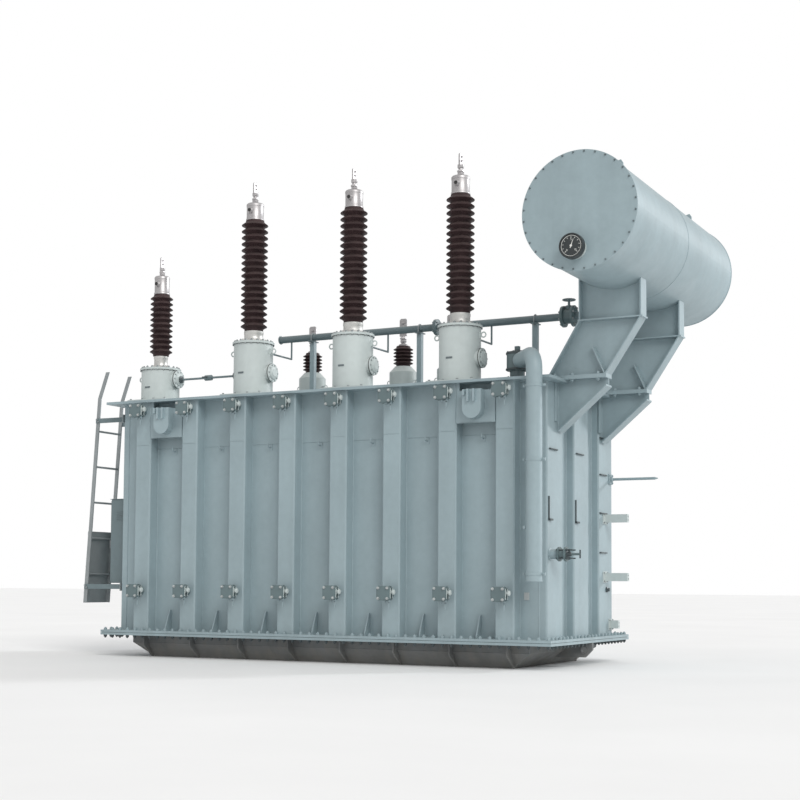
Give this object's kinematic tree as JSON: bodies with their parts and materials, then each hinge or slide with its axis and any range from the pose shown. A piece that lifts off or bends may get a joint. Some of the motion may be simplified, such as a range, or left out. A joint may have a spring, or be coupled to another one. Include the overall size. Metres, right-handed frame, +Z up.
{
  "type": "oil-filled power transformer",
  "caption": "Ribbed oil-filled power transformer with tall brown bushings on turrets, a raised conservator cylinder at one end and a boat-shaped base",
  "frame": {"origin": "centre of the flat face that the base rests on", "axes": "+X along the tank towards the conservator, +Y towards the low-voltage side, +Z up"},
  "size_m": [7.572, 3.8778, 5.739],
  "materials": {
    "tank_paint": "satin blue-grey",
    "base_paint": "matt dark grey",
    "turret_paint": "satin light grey",
    "valve_paint": "satin dark grey-green",
    "pipe_paint": "satin dark blue-grey",
    "porcelain": "brown glaze",
    "cap_metal": "bright turned",
    "collar_metal": "cast, dull",
    "gasket": "matt",
    "ladder_zinc": "satin, weathered zinc",
    "gauge_black": "satin black"
  },
  "bodies": {
    "root": {"lower_tank": "base_paint", "base_stiffeners": "base_paint", "hauling_lugs": "base_paint", "lower_flange": "tank_paint", "flange_gasket": "gasket", "upper_flange": "tank_paint", "flange_gussets": "tank_paint", "tank_body": "tank_paint", "cover": "tank_paint", "front_ribs": "tank_paint", "rear_ribs": "tank_paint", "right_end_ribs": "tank_paint", "left_end_ribs": "tank_paint", "front_lifting_brackets": "tank_paint", "rear_lifting_brackets": "tank_paint", "front_upper_valves": "valve_paint", "front_lower_valves": "valve_paint", "rear_upper_valves": "valve_paint", "rear_lower_valves": "valve_paint", "turrets": "turret_paint", "bushing_collars": "collar_metal", "bushing_insulators": "porcelain", "bushing_caps": "cap_metal", "lv_turrets": "turret_paint", "lv_insulators": "porcelain", "lv_terminals": "cap_metal", "header_pipe": "pipe_paint", "header_valve": "valve_paint", "conservator_feed_pipe": "pipe_paint", "header_posts": "tank_paint", "vent_pipes": "pipe_paint", "turret_link_pipe": "pipe_paint", "relief_device": "valve_paint", "discharge_pipe": "tank_paint", "conservator_shell": "tank_paint", "conservator_front_cover": "tank_paint", "conservator_rear_head": "tank_paint", "oil_level_gauge": "gauge_black", "conservator_supports": "tank_paint", "support_brackets": "tank_paint", "drain_valve": "valve_paint", "cable_brackets": "turret_paint", "side_rod": "tank_paint", "ladder": "ladder_zinc", "ladder_stays": "pipe_paint", "ladder_guard": "ladder_zinc", "control_cabinet": "pipe_paint"}
  },
  "joints": []
}
